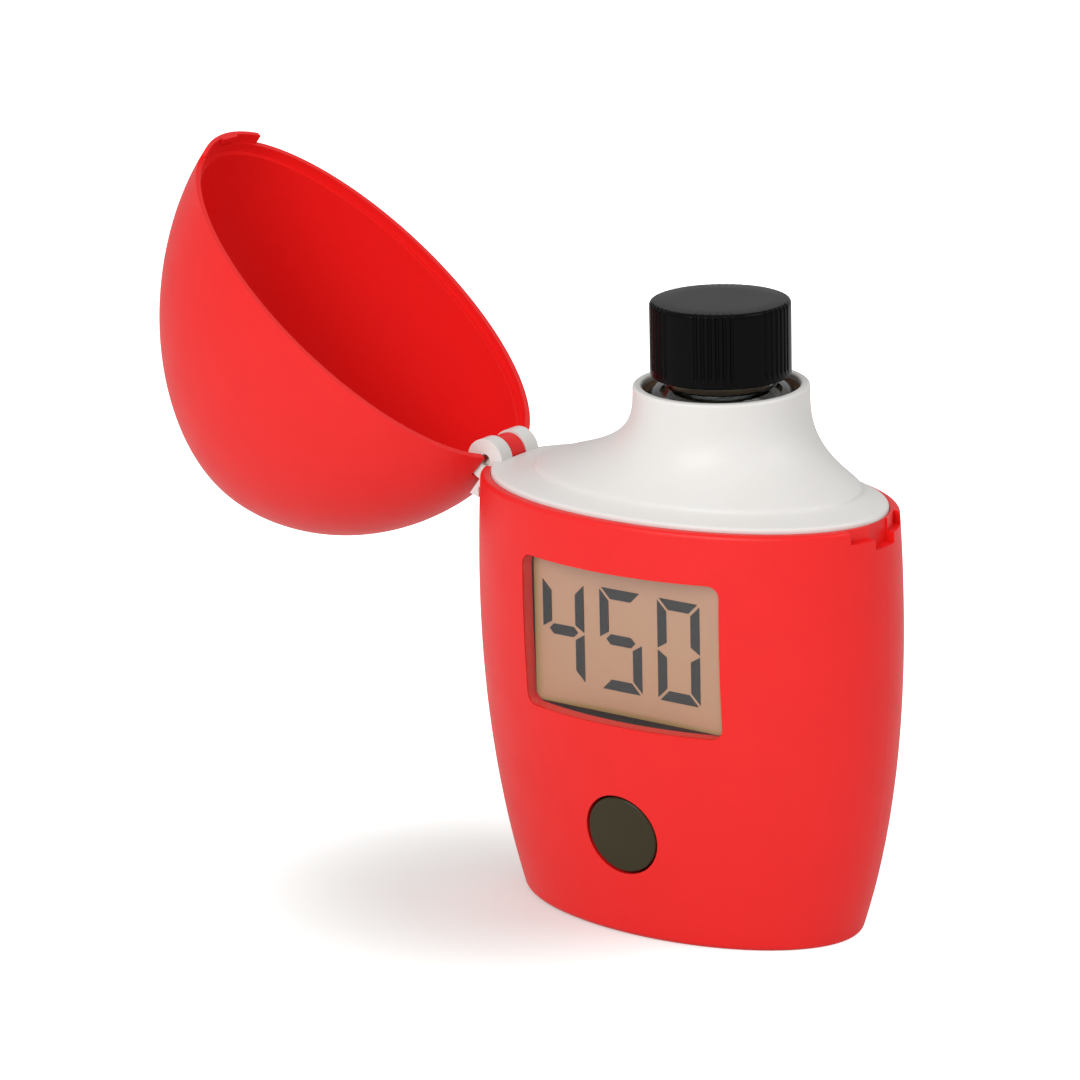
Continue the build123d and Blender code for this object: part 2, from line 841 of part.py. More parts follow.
# Four capacitors in a row under the microcontroller
with BuildPart() as capacitors:
    with BuildSketch(facing(board_back_y)):
        with Locations((chip_x, capacitor_z)):
            with GridLocations(capacitor_pitch, 0, capacitor_count, 1):
                Rectangle(capacitor_size, capacitor_size)
    extrude(amount=-capacitor_size)
capacitors.part.label = "capacitors"
export_step(capacitors.part, "parts/capacitors.step")

# Button: its face follows the case, and a flange behind the wall holds it in
with BuildPart() as button:
    with BuildSketch(facing(button_flange_y)):
        with Locations((button_x, button_z)):
            Circle(button_radius)
    extrude(amount=widest_depth)
    add(barrel(button_recess, 0), mode=Mode.INTERSECT)
    fillet(button.edges().group_by(Axis.Y)[0], button_edge_radius)
    with BuildSketch(facing(button_back_y)):
        with Locations((button_x, button_z)):
            Circle(button_flange_radius)
    extrude(amount=button_flange_thickness)
button.part.label = "button"
export_step(button.part, "parts/button.step")

# Push switch on the board's tail, its plunger behind the button
with BuildPart() as push_switch:
    with BuildSketch(facing(board_front_y)):
        with Locations((button_x, button_z)):
            Rectangle(switch_size, switch_size)
    extrude(amount=switch_height)
    with BuildSketch(facing(board_front_y)):
        with Locations((button_x, button_z)):
            Circle(plunger_radius)
    extrude(amount=switch_height + plunger_height)
push_switch.part.label = "push_switch"
export_step(push_switch.part, "parts/push_switch.step")

# Well: a thin closed tube with a window on each side for the light
with BuildPart() as well_sleeve:
    with BuildSketch(Plane.XY.offset(sleeve_bottom)):
        with Locations((neck_x, neck_y)):
            Circle(sleeve_radius)
    extrude(amount=sleeve_top - sleeve_bottom)
    with BuildSketch(Plane.XY.offset(well_floor_z)):
        with Locations((neck_x, neck_y)):
            Circle(well_radius)
    extrude(amount=sleeve_top - well_floor_z, mode=Mode.SUBTRACT)
    with BuildSketch(light_plane.offset(neck_x)):
        Circle(light_window_radius)
    extrude(amount=2 * sleeve_radius, both=True, mode=Mode.SUBTRACT)
well_sleeve.part.label = "well_sleeve"
export_step(well_sleeve.part, "parts/well_sleeve.step")

# Optical block: holds the well, the lamp on one side and the detector on the other
with BuildPart() as optical_block:
    with BuildSketch(Plane.XY.offset(deck_top)):
        with Locations((neck_x, neck_y)):
            Rectangle(2 * block_reach, 2 * block_front)
            with Locations((0, 0)):
                Rectangle(2 * block_reach, block_back, align=(Align.CENTER, Align.MIN))
    extrude(amount=block_top - deck_top)
    with BuildSketch(Plane.XY.offset(block_top)):
        with Locations((neck_x - plate_left, neck_y)):
            Rectangle(
                plate_left + plate_right,
                2 * plate_half_depth,
                align=(Align.MIN, Align.CENTER),
            )
    extrude(amount=plate_height)
    with BuildSketch(light_plane.offset(neck_x)):
        Rectangle(2 * housing_half, 2 * housing_half)
    extrude(amount=housing_right - neck_x)
    add(fit_barrel, mode=Mode.INTERSECT)
    for place in post_places:
        with BuildSketch(facing(board_back_y)):
            with Locations(place):
                Circle(post_radius)
        extrude(amount=board_back_y - neck_y)
    with BuildSketch(Plane.XY.offset(sleeve_bottom)):
        with Locations((neck_x, neck_y)):
            Circle(sleeve_radius + well_fit)
    extrude(amount=neck_top, mode=Mode.SUBTRACT)
    with BuildSketch(light_plane.offset(pocket_left)):
        Circle(filter_radius + optic_clearance)
    extrude(amount=housing_right, mode=Mode.SUBTRACT)
    with BuildSketch(light_plane.offset(neck_x)):
        Circle(light_window_radius)
    extrude(amount=housing_right, mode=Mode.SUBTRACT)
    with BuildSketch(light_plane.offset(neck_x)):
        Circle(led_radius + optic_clearance)
    extrude(amount=-2 * block_reach, mode=Mode.SUBTRACT)
    with BuildSketch(Plane.XY.offset(block_top)):
        with Locations(*boss_places):
            Circle(screw_radius + screw_fit)
    extrude(amount=2 * plate_height, mode=Mode.SUBTRACT)
    with BuildSketch(facing(board_back_y)):
        with Locations(*post_places):
            Circle(screw_radius + screw_fit)
    extrude(amount=-board_screw_length, mode=Mode.SUBTRACT)
    with BuildSketch(Plane.XY.offset(deck_top)):
        with Locations(*block_screw_places):
            Circle(screw_radius + screw_fit)
    extrude(amount=block_screw_length - deck_thickness + screw_fit, mode=Mode.SUBTRACT)
optical_block.part.label = "optical_block"
export_step(optical_block.part, "parts/optical_block.step")

# Lamp that shines across the well, and its small board
with BuildPart() as led:
    with BuildSketch(light_plane.offset(block_left)):
        Circle(led_radius)
    extrude(amount=led_length)
    fillet(led.edges().group_by(Axis.X)[-1], led_edge_radius)
led.part.label = "led"
export_step(led.part, "parts/led.step")

with BuildPart() as led_board:
    with BuildSketch(light_plane.offset(block_left)):
        Rectangle(led_board_size, led_board_size)
    extrude(amount=-led_board_thickness)
led_board.part.label = "led_board"
export_step(led_board.part, "parts/led_board.step")

# Narrow-band filter, detector and detector board on the far side of the well
with BuildPart() as light_filter:
    with BuildSketch(light_plane.offset(pocket_left)):
        Circle(filter_radius)
    extrude(amount=filter_thickness)
light_filter.part.label = "light_filter"
export_step(light_filter.part, "parts/light_filter.step")

with BuildPart() as photodetector:
    with BuildSketch(light_plane.offset(detector_left)):
        Circle(detector_radius)
    extrude(amount=detector_length)
    with BuildSketch(light_plane.offset(detector_right)):
        Circle(detector_flange_radius)
    extrude(amount=detector_flange)
photodetector.part.label = "photodetector"
export_step(photodetector.part, "parts/photodetector.step")

with BuildPart() as detector_board:
    with BuildSketch(light_plane.offset(housing_right)):
        Rectangle(detector_board_size, detector_board_size)
    extrude(amount=detector_board_thickness)
detector_board.part.label = "detector_board"
export_step(detector_board.part, "parts/detector_board.step")

# Chassis: a deck over the battery, with end walls, saddles and screw columns
with BuildPart() as chassis:
    with BuildSketch(Plane.XY.offset(deck_bottom)):
        with Locations((0, -deck_front)):
            Rectangle(
                rim_width, deck_front + rim_depth, align=(Align.CENTER, Align.MIN)
            )
    extrude(amount=deck_thickness)
    for side in (-1, 1):
        with BuildSketch(Plane.XY.offset(end_wall_bottom)):
            with Locations((side * (end_wall_x + end_wall_thickness / 2), 0)):
                Rectangle(end_wall_thickness, 2 * end_wall_half_depth)
        extrude(amount=deck_top - end_wall_bottom)
    with BuildSketch(Plane.XY.offset(floor_thickness)):
        with Locations(*column_places):
            Circle(column_radius)
    extrude(amount=deck_top - floor_thickness)
    with BuildSketch(Plane.XY.offset(floor_thickness)):
        with Locations(*column_places):
            Rectangle(
                saddle_width, saddle_back - column_y, align=(Align.CENTER, Align.MIN)
            )
    extrude(amount=saddle_height)
    with BuildSketch(facing(door_boss_y - inner_clearance)):
        with Locations((0, deck_top)):
            Rectangle(
                2 * rear_boss_half_width,
                rear_boss_height,
                align=(Align.CENTER, Align.MAX),
            )
    extrude(amount=door_boss_y - inner_clearance - rear_boss_front)
    add(fit_barrel, mode=Mode.INTERSECT)
    with BuildSketch(facing(door_boss_y - inner_clearance)):
        with Locations((0, door_screw_z)):
            Circle(door_boss_radius + inner_clearance)
    extrude(amount=-overcut, mode=Mode.SUBTRACT)
    with BuildSketch(Plane.YZ):
        with Locations((0, battery_z)):
            Circle(battery_radius + battery_clearance)
    extrude(amount=battery_end, both=True, mode=Mode.SUBTRACT)
    with BuildSketch(Plane.XY.offset(floor_thickness)):
        with Locations(*column_places):
            Circle(screw_radius + screw_fit)
    extrude(amount=case_screw_length, mode=Mode.SUBTRACT)
    with BuildSketch(facing(0)):
        with Locations((0, door_screw_z)):
            Circle(screw_radius + screw_fit)
    extrude(amount=-widest_depth, mode=Mode.SUBTRACT)
    with BuildSketch(Plane.XY.offset(deck_bottom)):
        with Locations(*block_screw_places):
            Circle(screw_radius + screw_fit)
    extrude(amount=deck_thickness, mode=Mode.SUBTRACT)
chassis.part.label = "chassis"
export_step(chassis.part, "parts/chassis.step")

# Battery: one small cylindrical cell lying across the case
with BuildPart() as battery:
    with BuildSketch(Plane.YZ.offset(-battery_end)):
        with Locations((0, battery_z)):
            Circle(battery_radius)
    extrude(amount=battery_length - battery_nub_length)
    fillet(battery.edges(), battery_edge_radius)
    with BuildSketch(Plane.YZ.offset(battery_end)):
        with Locations((0, battery_z)):
            Circle(battery_nub_radius)
    extrude(amount=-2 * battery_nub_length)
battery.part.label = "battery"
export_step(battery.part, "parts/battery.step")

# Battery contacts: a plate with a pressed dimple at each end of the cell
with BuildPart() as battery_contacts:
    for side in (-1, 1):
        with BuildSketch(Plane.YZ.offset(side * end_wall_x)):
            with Locations((0, battery_z)):
                Rectangle(contact_width, contact_height)
        extrude(amount=-side * contact_thickness)
        with BuildSketch(Plane.YZ.offset(side * end_wall_x)):
            with Locations((0, battery_z)):
                Circle(contact_dimple_radius)
        extrude(amount=-side * (contact_thickness + contact_room - battery_clearance))
battery_contacts.part.label = "battery_contacts"
export_step(battery_contacts.part, "parts/battery_contacts.step")

# Screws: two up through the floor, one in the door, two under the deck,
# two up into the collar and two through the board
with BuildPart() as case_screws:
    head_top = screw_head_height + screw_head_recess
    for x, y in column_places:
        add(screw((x, y, head_top), (0, 0, 1), case_screw_length))
case_screws.part.label = "case_screws"
export_step(case_screws.part, "parts/case_screws.step")

with BuildPart() as door_screw:
    add(screw((0, door_seat_y, door_screw_z), (0, -1, 0), door_screw_length))
door_screw.part.label = "door_screw"
export_step(door_screw.part, "parts/door_screw.step")

with BuildPart() as block_screws:
    for x, y in block_screw_places:
        add(screw((x, y, deck_bottom), (0, 0, 1), block_screw_length))
block_screws.part.label = "block_screws"
export_step(block_screws.part, "parts/block_screws.step")

with BuildPart() as collar_screws:
    for x, y in boss_places:
        add(screw((x, y, block_top), (0, 0, 1), collar_screw_length))
collar_screws.part.label = "collar_screws"
export_step(collar_screws.part, "parts/collar_screws.step")

with BuildPart() as board_screws:
    for x, z in post_places:
        add(screw((x, board_front_y, z), (0, 1, 0), board_screw_length))
board_screws.part.label = "board_screws"
export_step(board_screws.part, "parts/board_screws.step")


# Half of the vial's outline, drawn at a distance inside its outer surface
def vial_profile(radius, neck, bottom, top):
    with BuildPart() as solid:
        with BuildSketch(neck_section):
            with BuildLine():
                Polyline((0, top), (0, bottom), (radius, bottom), (radius, shoulder_z))
                ThreePointArc(
                    (radius, shoulder_z),
                    (
                        neck + (radius - neck) * shoulder_bulge,
                        shoulder_z + shoulder_height * shoulder_bulge,
                    ),
                    (neck, shoulder_top),
                )
                Polyline((neck, shoulder_top), (neck, top), (0, top))
            make_face()
        revolve(axis=neck_axis)
        fillet(solid.edges().group_by(Axis.Z)[0], vial_heel_radius)
    return solid.part


vial_inner = vial_radius - vial_wall
vial_outer_form = vial_profile(vial_radius, vial_neck_radius, vial_bottom, vial_top)
vial_inner_form = vial_profile(
    vial_inner, vial_neck_radius - vial_neck_wall, vial_bottom + vial_floor, vial_top
)

# Vial: clear glass with a rounded heel, a shoulder and a narrower neck
with BuildPart() as vial:
    add(vial_outer_form)
    add(vial_inner_form, mode=Mode.SUBTRACT)
vial.part.label = "vial"
export_step(vial.part, "parts/vial.step")

# Sample: the liquid that stands in the vial
with BuildPart() as sample:
    with BuildSketch(Plane.XY.offset(sample_bottom)):
        with Locations((neck_x, neck_y)):
            Circle(vial_inner - sample_gap)
    extrude(amount=sample_top - sample_bottom)
    fillet(sample.edges().group_by(Axis.Z)[0], vial_heel_radius)
sample.part.label = "sample"
export_step(sample.part, "parts/sample.step")

# Vial cap: smooth lands and groups of ribs in turn round its skirt
with BuildPart() as vial_cap:
    with BuildSketch(Plane.XY.offset(cap_bottom)):
        with Locations((neck_x, neck_y)):
            Circle(cap_radius)
    extrude(amount=cap_top - cap_bottom)
    chamfer(vial_cap.edges().group_by(Axis.Z)[-1], cap_edge)
    with BuildSketch(Plane.XY.offset(cap_bottom + cap_ring)):
        for group in range(cap_groups):
            for groove in range(cap_ribs + 1):
                turn = (groove - cap_ribs / 2) * cap_rib_angle
                angle = radians(cap_first_group + group * 360 / cap_groups + turn)
                reach = cap_radius + cap_groove_radius - cap_groove_depth
                with Locations((neck_x + reach * cos(angle), neck_y + reach * sin(angle))):
                    Circle(cap_groove_radius)
    extrude(amount=cap_top - cap_bottom, mode=Mode.SUBTRACT)
    with BuildSketch(Plane.XY.offset(cap_bottom)):
        with Locations((neck_x, neck_y)):
            Circle(vial_neck_radius + thread_fit)
    extrude(amount=cap_top - cap_roof - cap_bottom, mode=Mode.SUBTRACT)
vial_cap.part.label = "vial_cap"
export_step(vial_cap.part, "parts/vial_cap.step")

# Sealing liner between the vial's mouth and the cap's roof
with BuildPart() as cap_liner:
    with BuildSketch(Plane.XY.offset(vial_top + liner_gap)):
        with Locations((neck_x, neck_y)):
            Circle(vial_neck_radius)
    extrude(amount=liner_thickness)
cap_liner.part.label = "cap_liner"
export_step(cap_liner.part, "parts/cap_liner.step")
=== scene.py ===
# %% [markdown]
# # A portable colorimeter, dressed for the camera
# The imported model is already in the scene once it is loaded: every moulding, screw
# and glass lies where it belongs, in metres, with Z up and the front facing -Y.
# This lesson gives each piece its real finish, remakes the few pieces that a plain
# solid can't show well, and then lights the object as a small product on a table.

# %% Load the frame, with helpers for boxes, bodies and hidden pieces
from math import cos, pi, radians, sin

import bmesh
import bpy
from mathutils import Matrix, Vector


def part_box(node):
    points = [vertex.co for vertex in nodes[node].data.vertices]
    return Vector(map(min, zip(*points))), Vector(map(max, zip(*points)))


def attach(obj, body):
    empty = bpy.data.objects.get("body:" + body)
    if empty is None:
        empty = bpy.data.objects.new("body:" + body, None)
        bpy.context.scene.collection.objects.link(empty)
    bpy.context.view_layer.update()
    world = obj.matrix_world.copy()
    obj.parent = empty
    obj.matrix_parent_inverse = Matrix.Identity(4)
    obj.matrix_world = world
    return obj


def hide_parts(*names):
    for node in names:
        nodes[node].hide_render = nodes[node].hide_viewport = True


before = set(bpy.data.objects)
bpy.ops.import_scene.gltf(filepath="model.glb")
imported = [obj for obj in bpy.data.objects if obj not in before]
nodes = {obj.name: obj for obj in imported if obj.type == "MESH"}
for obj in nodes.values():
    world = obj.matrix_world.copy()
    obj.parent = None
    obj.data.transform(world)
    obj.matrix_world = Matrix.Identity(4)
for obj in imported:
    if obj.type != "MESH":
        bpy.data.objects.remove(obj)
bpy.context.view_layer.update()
MM = 0.001
WELD = 0.001 * MM

# %% [markdown]
# Three small tools are used all the way down. Colours are written as the sRGB hex
# values that a colour card gives, and Blender's shaders want them linear. A node
# tree is easier to read when one call adds a node with its settings and its links.
# A grain's size is written in millimetres, and a noise wants its inverse in metres.

# %% Colour, node and grain helpers
def linear(hex_code):
    channels = [int(hex_code[i : i + 2], 16) / 255 for i in (1, 3, 5)]
    curve = [c / 12.92 if c <= 0.04045 else ((c + 0.055) / 1.055) ** 2.4 for c in channels]
    return (*curve, 1.0)


def add_node(tree, kind, settings=None, values=None, links=None):
    made = tree.nodes.new(kind)
    for name, value in (settings or {}).items():
        setattr(made, name, value)
    for socket, value in (values or {}).items():
        made.inputs[socket].default_value = value
    for socket, source in (links or {}).items():
        tree.links.new(source, made.inputs[socket])
    return made


def per_metre(millimetres):
    return 1 / (millimetres * MM)


print("case red is linear", linear("#ee1d1a"))

# %% [markdown]
# Every material starts the same way: its tree, its main shader, and the place on the
# piece in metres. Object coordinates are used, because a CAD piece has no UV map and
# its grain has to stay on it when its body moves.

# %% Start a material
def start_material(name):
    material = bpy.data.materials.new(name)
    material.use_nodes = True
    tree = material.node_tree
    shader = tree.nodes["Principled BSDF"]
    place = add_node(tree, "ShaderNodeTexCoord").outputs["Object"]
    return material, tree, shader, place


print("one metre holds", per_metre(1.0), "patterns of a millimetre")

# %% [markdown]
# A moulded plastic is never one flat colour. Its pigment drifts a little over a few
# millimetres, and the spark-eroded mould leaves a fine grain that breaks up the
# gloss. One recipe serves every moulding here: a coarse noise for the pigment and
# the sheen, a fine noise for the mould's grain, and a slow third one for the sink
# and flow that make a large moulded wall ripple very slightly in its reflections.
# The real grain is under a tenth of a millimetre, too fine to show from here, so it
# is drawn at about three tenths.

# %% The recipe for a moulded surface
FLOW_MM = 14.0


def moulded(
    name,
    colour,
    second,
    roughness,
    ior,
    drift_mm=6.0,
    grain_mm=0.3,
    grain_depth=0.004,
    sheen_span=0.06,
    flow_depth=0.0,
    gloss=0.5,
):
    material, tree, shader, place = start_material(name)
    drift = add_node(
        tree,
        "ShaderNodeTexNoise",
        values={"Scale": per_metre(drift_mm), "Detail": 3.0, "Roughness": 0.55},
        links={"Vector": place},
    ).outputs["Fac"]
    mixed = add_node(
        tree,
        "ShaderNodeMix",
        settings={"data_type": "RGBA"},
        values={6: linear(colour), 7: linear(second)},
        links={"Factor": drift},
    )
    tree.links.new(mixed.outputs[2], shader.inputs["Base Color"])
    sheen = add_node(
        tree,
        "ShaderNodeMapRange",
        values={"To Min": roughness - sheen_span, "To Max": roughness + sheen_span},
        links={"Value": drift},
    ).outputs["Result"]
    tree.links.new(sheen, shader.inputs["Roughness"])
    flow = add_node(
        tree,
        "ShaderNodeTexNoise",
        values={"Scale": per_metre(FLOW_MM), "Detail": 1.0},
        links={"Vector": place},
    ).outputs["Fac"]
    wave = add_node(
        tree,
        "ShaderNodeBump",
        values={"Strength": 1.0, "Distance": flow_depth * MM},
        links={"Height": flow},
    ).outputs["Normal"]
    grain = add_node(
        tree,
        "ShaderNodeTexNoise",
        values={"Scale": per_metre(grain_mm), "Detail": 2.0, "Roughness": 0.6},
        links={"Vector": place},
    ).outputs["Fac"]
    bump = add_node(
        tree,
        "ShaderNodeBump",
        values={"Strength": 1.0, "Distance": grain_depth * MM},
        links={"Height": grain, "Normal": wave},
    ).outputs["Normal"]
    tree.links.new(bump, shader.inputs["Normal"])
    shader.inputs["IOR"].default_value = ior
    shader.inputs["Specular IOR Level"].default_value = gloss
    return material


print("flow ripples every", FLOW_MM, "mm")

# %% [markdown]
# Thick pale plastic lets light wander a little way under its skin, which subsurface
# scattering shows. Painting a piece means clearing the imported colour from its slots
# and giving it one finish, and several nodes may share a finish.

# %% Light under the skin, and painting
def glow_under(material, weight, scale_mm, radius):
    shader = material.node_tree.nodes["Principled BSDF"]
    shader.inputs["Subsurface Weight"].default_value = weight
    shader.inputs["Subsurface Scale"].default_value = scale_mm * MM
    shader.inputs["Subsurface Radius"].default_value = radius
    return material


def paint(material, *names):
    for name in names:
        slots = nodes[name].data.materials
        slots.clear()
        slots.append(material)
    print(material.name, "on", ", ".join(names))


print("nodes to paint", len(nodes))

# %% [markdown]
# The case, its battery door and the lid are one red: ABS from the same batch, with
# a fine spark finish. Light goes a little way into it, so a small share of it
# scatters under the surface and keeps the shaded edges warm.

# %% Case, door and lid in red ABS
red_abs = moulded(
    "red_abs_spark_moulded", "#ee1d1a", "#e81a1b", 0.42, 1.54, flow_depth=0.01, gloss=0.3
)
glow_under(red_abs, 0.10, 1.0, (1.0, 0.25, 0.15))
paint(red_abs, "body_shell", "battery_door", "lid")

# %% [markdown]
# The collar is white ABS from a polished mould, so it is smoother than the case.
# White plastic is a little translucent, which softens the shading of its flare.

# %% Collar in white ABS
white_abs = moulded(
    "white_abs_polished_mould",
    "#e2e0dd",
    "#dfdcd8",
    roughness=0.36,
    ior=1.54,
    drift_mm=9.0,
    grain_mm=0.4,
    grain_depth=0.001,
    sheen_span=0.03,
    flow_depth=0.002,
    gloss=0.25,
)
glow_under(white_abs, 0.15, 1.5, (1.0, 0.95, 0.9))
paint(white_abs, "collar")

# %% [markdown]
# The button is a dark olive moulding with a semi-gloss face. The mouldings inside
# the case are plain black ABS with a coarser grain, and the seals are rubber.

# %% Button and inner mouldings
olive = moulded(
    "dark_olive_abs_moulded", "#352f18", "#2f2a15", 0.32, 1.54, flow_depth=0.01, gloss=0.25
)
paint(olive, "button")
black = moulded("black_abs_moulded", "#161616", "#1c1b1a", 0.5, 1.54)
paint(black, "chassis", "optical_block", "display_frame", "push_switch", "microcontroller")
rubber = moulded("black_rubber_moulded", "#121212", "#181818", 0.7, 1.5)
paint(rubber, "collar_gasket", "contact_strips")

# %% [markdown]
# The well that the vial stands in is a thin tube of tan plastic, which shows as a
# warm brown ring between the white mouth and the glass. The foam liner, the green
# laminate of the boards, the ceramic capacitors and the cell's sleeve use the same
# recipe with their own grain.

# %% Well, liner, boards and cell
tan_sleeve = moulded("tan_acetal_extruded", "#c4a082", "#b48f70", 0.45, 1.48)
paint(tan_sleeve, "well_sleeve")
foam = moulded("white_foam_sheet", "#e8e7e2", "#dddcd6", 0.8, 1.45, grain_mm=0.5, grain_depth=0.03)
paint(foam, "cap_liner")
laminate = moulded("green_solder_mask", "#1c5a38", "#18502f", 0.35, 1.5, grain_mm=0.6)
paint(laminate, "main_board", "led_board", "detector_board")
ceramic = moulded("fired_ceramic", "#b79a70", "#ad8f66", 0.5, 1.6, grain_mm=0.2)
paint(ceramic, "capacitors")
cell_sleeve = moulded("shrunk_sleeve_film", "#3a3d42", "#34373b", 0.3, 1.5, flow_depth=0.03)
paint(cell_sleeve, "battery")

# %% [markdown]
# The screws, the hinge pin and the small cans are plated steel. Plating keeps the
# base metal's drawing marks as a faint grain, and its polish varies over a few
# millimetres, so the recipe is the same with the metallic share at one.

# %% Plated metals
def metal(name, colour, second, roughness):
    made = moulded(
        name,
        colour,
        second,
        roughness,
        ior=1.5,
        drift_mm=1.5,
        grain_mm=0.15,
        grain_depth=0.003,
        sheen_span=0.08,
    )
    made.node_tree.nodes["Principled BSDF"].inputs["Metallic"].default_value = 1.0
    return made


zinc = metal("zinc_plated_steel", "#b9bcc0", "#a9adb2", 0.32)
paint(zinc, "case_screws", "door_screw", "block_screws", "collar_screws", "board_screws")
bright = metal("nickel_plated_steel", "#c8c4ba", "#bbb7ad", 0.22)
paint(bright, "hinge_pin", "battery_contacts", "crystal", "photodetector")

# %% [markdown]
# Glass, the sample and the small clear parts let light through. Drawn glass is
# nearly flawless, so its only marks are a slow ripple in the wall and a faint smear
# in the polish, which keep the highlights on its shoulder from being ruler straight.

# %% The recipe for a clear surface
SMEAR_SPAN = 0.03


def clear(name, colour, roughness, ior, ripple_mm, ripple_depth):
    material, tree, shader, place = start_material(name)
    shader.inputs["Base Color"].default_value = linear(colour)
    shader.inputs["Transmission Weight"].default_value = 1.0
    shader.inputs["IOR"].default_value = ior
    ripple = add_node(
        tree,
        "ShaderNodeTexNoise",
        values={"Scale": per_metre(ripple_mm), "Detail": 2.0},
        links={"Vector": place},
    ).outputs["Fac"]
    smear = add_node(
        tree,
        "ShaderNodeMapRange",
        values={"To Min": roughness, "To Max": roughness + SMEAR_SPAN},
        links={"Value": ripple},
    ).outputs["Result"]
    tree.links.new(smear, shader.inputs["Roughness"])
    bump = add_node(
        tree,
        "ShaderNodeBump",
        values={"Strength": 1.0, "Distance": ripple_depth * MM},
        links={"Height": ripple},
    ).outputs["Normal"]
    tree.links.new(bump, shader.inputs["Normal"])
    return material


print("smear adds up to", SMEAR_SPAN, "of roughness")

# %% [markdown]
# The vial is drawn borosilicate, whose index of refraction is a little under window
# glass, and the sample in it bends light like water. The lamp's dome is clear epoxy,
# and the filter before the light sensor is thin coated glass.

# %% Glass, sample and small clear parts
glass = clear("borosilicate_glass_drawn", "#f6faf8", 0.0, 1.47, 8.0, 0.02)
paint(glass, "vial")
liquid = clear("sample_liquid", "#f2e6d8", 0.0, 1.33, 12.0, 0.005)
paint(liquid, "sample")
epoxy = clear("clear_epoxy_cast", "#f4f6fa", 0.02, 1.5, 3.0, 0.02)
paint(epoxy, "led")
coated = clear("coated_filter_glass", "#8fc0a8", 0.0, 1.52, 6.0, 0.005)
paint(coated, "light_filter")

# %% [markdown]
# ## The display
# The display cell is a sandwich: a tan reflector at the back, the dark bars of the
# reading in the middle, and glass in front. The reflector is a brushed film. It is
# most even in the middle and has painted shade towards its edges, darker and olive
# where the frame and the recess shade it, so its colour depends on the distance to
# the edge. It also glows a little in its own colour, which is painted light: it stands
# in for the film sending light back more strongly than paint does, and lifts it where
# the window and the recess shade it.

# %% Measure the reflector
panel_low, panel_high = (Vector(corner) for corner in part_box("display_back_glass"))
panel_middle = (panel_low + panel_high) / 2
panel_half = (panel_high - panel_low) / 2
print("reflector", [round(2 * side / MM, 1) for side in panel_half], "mm")

# %% [markdown]
# The distance to the nearest edge comes from the place on the panel, taken from its
# middle and divided by its half sides, so that it runs from nought to one whatever
# the panel's shape. The larger of the two shares is the one nearest to an edge.

# %% Distance to the reflector's edge
EDGE_SHADE_START = 0.90

film, tree, shader, place = start_material("tan_reflector_film")
centred = add_node(
    tree,
    "ShaderNodeVectorMath",
    settings={"operation": "SUBTRACT"},
    values={1: panel_middle},
    links={0: place},
).outputs["Vector"]
scaled = add_node(
    tree,
    "ShaderNodeVectorMath",
    settings={"operation": "DIVIDE"},
    values={1: (panel_half.x, 1.0, panel_half.z)},
    links={0: centred},
).outputs["Vector"]
parts = add_node(tree, "ShaderNodeSeparateXYZ", links={"Vector": scaled})
across = add_node(
    tree, "ShaderNodeMath", settings={"operation": "ABSOLUTE"}, links={0: parts.outputs["X"]}
).outputs[0]
upright = add_node(
    tree, "ShaderNodeMath", settings={"operation": "ABSOLUTE"}, links={0: parts.outputs["Z"]}
).outputs[0]
nearest = add_node(
    tree, "ShaderNodeMath", settings={"operation": "MAXIMUM"}, links={0: across, 1: upright}
).outputs[0]
# The edge share sets how strongly the painted shade darkens the film towards its edge.
edge_shade = add_node(
    tree,
    "ShaderNodeMapRange",
    settings={"interpolation_type": "SMOOTHSTEP"},
    values={"From Min": EDGE_SHADE_START, "From Max": 1.0},
    links={"Value": nearest},
).outputs["Result"]
print("edge tone starts at", EDGE_SHADE_START, "of the half side")

# %% [markdown]
# Two warm tones run from the bottom to the top, the lower one a little darker as painted
# shade of the recess, and the olive painted shade is laid over them near the edges. The
# film's brushing is a noise pressed flat, so its marks are much longer than they are high.

# %% Tones and brushing of the reflector
BRUSH_MM = 1.8
BRUSH_STRETCH = 9.0
BRUSH_DEPTH = 0.004 * MM
FILM_PAINTED_GLOW = 0.28

height = add_node(
    tree,
    "ShaderNodeMapRange",
    values={"From Min": -1.0, "From Max": 1.0},
    links={"Value": parts.outputs["Z"]},
).outputs["Result"]
# Painted shade: the bottom tone is a little darker than the top one.
face = add_node(
    tree,
    "ShaderNodeMix",
    settings={"data_type": "RGBA"},
    values={6: linear("#a17859"), 7: linear("#a67f65")},
    links={"Factor": height},
).outputs[2]
# Painted shade: the olive tone is laid over the film near its edges.
film_with_painted_shade = add_node(
    tree,
    "ShaderNodeMix",
    settings={"data_type": "RGBA"},
    values={7: linear("#85703f")},
    links={"Factor": edge_shade, 6: face},
).outputs[2]
fibre = add_node(
    tree,
    "ShaderNodeMapping",
    values={"Scale": (1.0, 1.0, BRUSH_STRETCH)},
    links={"Vector": centred},
).outputs["Vector"]
brushed = add_node(
    tree,
    "ShaderNodeTexNoise",
    values={"Scale": per_metre(BRUSH_MM), "Detail": 3.0},
    links={"Vector": fibre},
).outputs["Fac"]
bump = add_node(
    tree,
    "ShaderNodeBump",
    values={"Strength": 1.0, "Distance": BRUSH_DEPTH},
    links={"Height": brushed},
).outputs["Normal"]
polish = add_node(
    tree, "ShaderNodeMapRange", values={"To Min": 0.42, "To Max": 0.58}, links={"Value": brushed}
).outputs["Result"]
tree.links.new(film_with_painted_shade, shader.inputs["Base Color"])
# The film glows a little in its own colour, which is painted light.
tree.links.new(film_with_painted_shade, shader.inputs["Emission Color"])
shader.inputs["Emission Strength"].default_value = FILM_PAINTED_GLOW
tree.links.new(polish, shader.inputs["Roughness"])
tree.links.new(bump, shader.inputs["Normal"])
paint(film, "display_back_glass")

# %% [markdown]
# The bars are a dye in a thin layer under the glass. It is nearly black and matt, so
# the reading stays plain against the film from any side.

